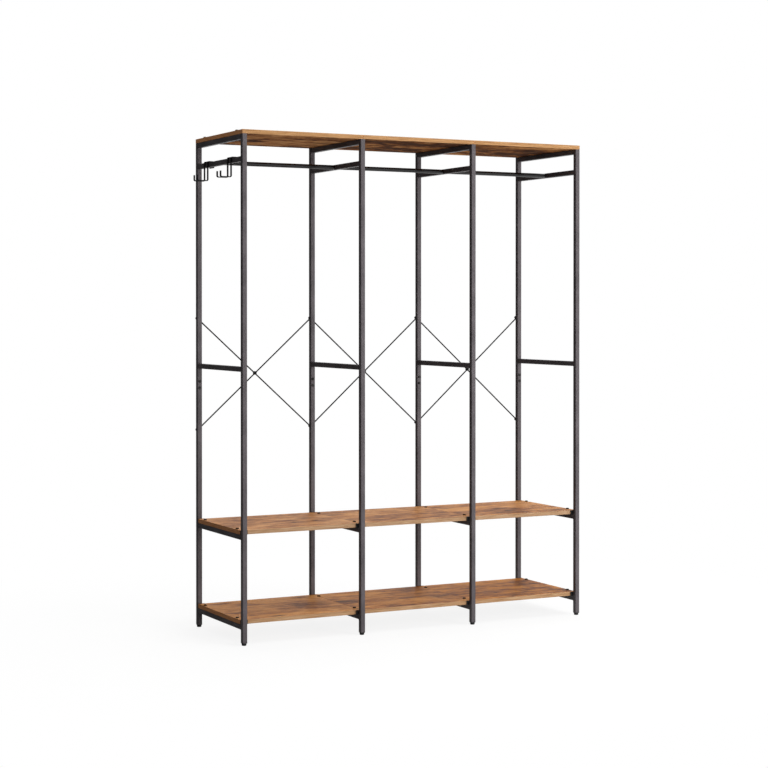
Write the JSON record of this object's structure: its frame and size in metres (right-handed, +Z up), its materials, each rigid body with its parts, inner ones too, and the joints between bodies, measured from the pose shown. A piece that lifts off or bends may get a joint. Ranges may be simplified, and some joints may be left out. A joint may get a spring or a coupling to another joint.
{
  "type": "open frame wardrobe",
  "caption": "Free-standing open wardrobe: black square-tube side frames, wooden top and shelf boards, hanging rails, rear cross braces, levelling feet and coat hooks on one end.",
  "frame": {"origin": "on the floor, midway between the end frames and midway between the front and rear posts", "axes": "+Z up, +X to the right seen from the front, +Y from front to back"},
  "size_m": [1.4439, 0.4561, 1.804],
  "materials": {
    "frame_black": "satin black powder coat with a fine orange-peel texture",
    "board_wood": "warm brown wood-grain board, matte lacquer, lighter sawn front edge",
    "rail_black": "semi-gloss black enamel, rubbed a little by hangers",
    "brace_black": "black coated rod, satin",
    "fastener_dark": "black zinc-coated steel, satin",
    "plastic_black": "moulded black plastic, matte",
    "connector_steel": "bare drawn steel, hidden inside the posts",
    "hook_black": "satin black powder coat on bent strip"
  },
  "bodies": {
    "wardrobe": {"left_end_upper_frame": "frame_black", "left_end_lower_frame": "frame_black", "left_middle_upper_frame": "frame_black", "left_middle_lower_frame": "frame_black", "right_middle_upper_frame": "frame_black", "right_middle_lower_frame": "frame_black", "right_end_upper_frame": "frame_black", "right_end_lower_frame": "frame_black", "left_top_board": "board_wood", "left_middle_shelf": "board_wood", "left_bottom_shelf": "board_wood", "left_hanging_rail": "rail_black", "left_rising_brace": "brace_black", "left_falling_brace": "brace_black", "middle_top_board": "board_wood", "middle_middle_shelf": "board_wood", "middle_bottom_shelf": "board_wood", "middle_hanging_rail": "rail_black", "middle_rising_brace": "brace_black", "middle_falling_brace": "brace_black", "right_top_board": "board_wood", "right_middle_shelf": "board_wood", "right_bottom_shelf": "board_wood", "right_hanging_rail": "rail_black", "right_rising_brace": "brace_black", "right_falling_brace": "brace_black", "top_board_screws": "fastener_dark", "middle_shelf_screws": "fastener_dark", "bottom_shelf_screws": "fastener_dark", "joint_screws": "fastener_dark", "brace_bolts": "fastener_dark", "end_shelf_spacers": "plastic_black", "middle_shelf_spacers": "plastic_black", "brace_clips": "plastic_black", "brace_spacers": "plastic_black", "foot_inserts": "plastic_black", "post_connectors": "connector_steel"},
    "left_end_front_foot": {"left_end_front_foot": "plastic_black"},
    "left_end_rear_foot": {"left_end_rear_foot": "plastic_black"},
    "left_middle_front_foot": {"left_middle_front_foot": "plastic_black"},
    "left_middle_rear_foot": {"left_middle_rear_foot": "plastic_black"},
    "right_middle_front_foot": {"right_middle_front_foot": "plastic_black"},
    "right_middle_rear_foot": {"right_middle_rear_foot": "plastic_black"},
    "right_end_front_foot": {"right_end_front_foot": "plastic_black"},
    "right_end_rear_foot": {"right_end_rear_foot": "plastic_black"},
    "front_coat_hook": {"front_coat_hook": "hook_black"},
    "rear_coat_hook": {"rear_coat_hook": "hook_black"}
  },
  "joints": [
    {"name": "left_end_front_foot_thread", "type": "slide", "parent": "wardrobe", "child": "left_end_front_foot", "axis": [0, 0, 1], "range_m": [-0.012, 0]},
    {"name": "left_end_rear_foot_thread", "type": "slide", "parent": "wardrobe", "child": "left_end_rear_foot", "axis": [0, 0, 1], "range_m": [-0.012, 0]},
    {"name": "left_middle_front_foot_thread", "type": "slide", "parent": "wardrobe", "child": "left_middle_front_foot", "axis": [0, 0, 1], "range_m": [-0.012, 0]},
    {"name": "left_middle_rear_foot_thread", "type": "slide", "parent": "wardrobe", "child": "left_middle_rear_foot", "axis": [0, 0, 1], "range_m": [-0.012, 0]},
    {"name": "right_middle_front_foot_thread", "type": "slide", "parent": "wardrobe", "child": "right_middle_front_foot", "axis": [0, 0, 1], "range_m": [-0.012, 0]},
    {"name": "right_middle_rear_foot_thread", "type": "slide", "parent": "wardrobe", "child": "right_middle_rear_foot", "axis": [0, 0, 1], "range_m": [-0.012, 0]},
    {"name": "right_end_front_foot_thread", "type": "slide", "parent": "wardrobe", "child": "right_end_front_foot", "axis": [0, 0, 1], "range_m": [-0.012, 0]},
    {"name": "right_end_rear_foot_thread", "type": "slide", "parent": "wardrobe", "child": "right_end_rear_foot", "axis": [0, 0, 1], "range_m": [-0.012, 0]},
    {"name": "front_coat_hook_slide", "type": "slide", "parent": "wardrobe", "child": "front_coat_hook", "axis": [0, 1, 0], "range_m": [-0.0715, 0.0775]},
    {"name": "rear_coat_hook_slide", "type": "slide", "parent": "wardrobe", "child": "rear_coat_hook", "axis": [0, 1, 0], "range_m": [-0.0805, 0.0685]}
  ]
}
